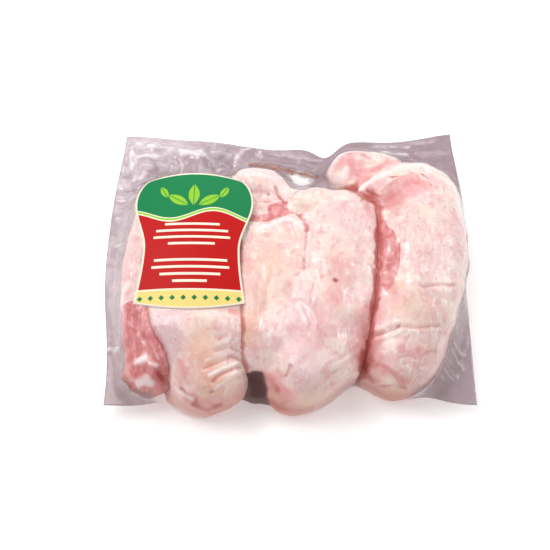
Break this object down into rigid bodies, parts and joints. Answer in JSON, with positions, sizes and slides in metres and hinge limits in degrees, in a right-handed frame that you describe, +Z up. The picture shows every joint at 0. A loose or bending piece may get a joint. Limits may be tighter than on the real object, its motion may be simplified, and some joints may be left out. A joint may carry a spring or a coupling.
{
  "type": "vacuum pack of raw turkey wings",
  "caption": "Clear vacuum bag shrunk tight round raw turkey wing pieces lying side by side, with a flat sealed border and a paper label on top.",
  "frame": {"origin": "on the surface the pack lies on, under the middle of the bag", "axes": "+Z up out of the labelled face, +Y towards the bag's open-end seal, +X along the bag's longer side"},
  "size_m": [0.3612, 0.313, 0.0831],
  "materials": {
    "wrapped_meat": "clear glossy film over raw pink and cream poultry skin",
    "label_paper": "semi-gloss printed paper, red with green and cream fields"
  },
  "bodies": {
    "root": {"bag": "wrapped_meat", "label": "label_paper"}
  },
  "joints": []
}
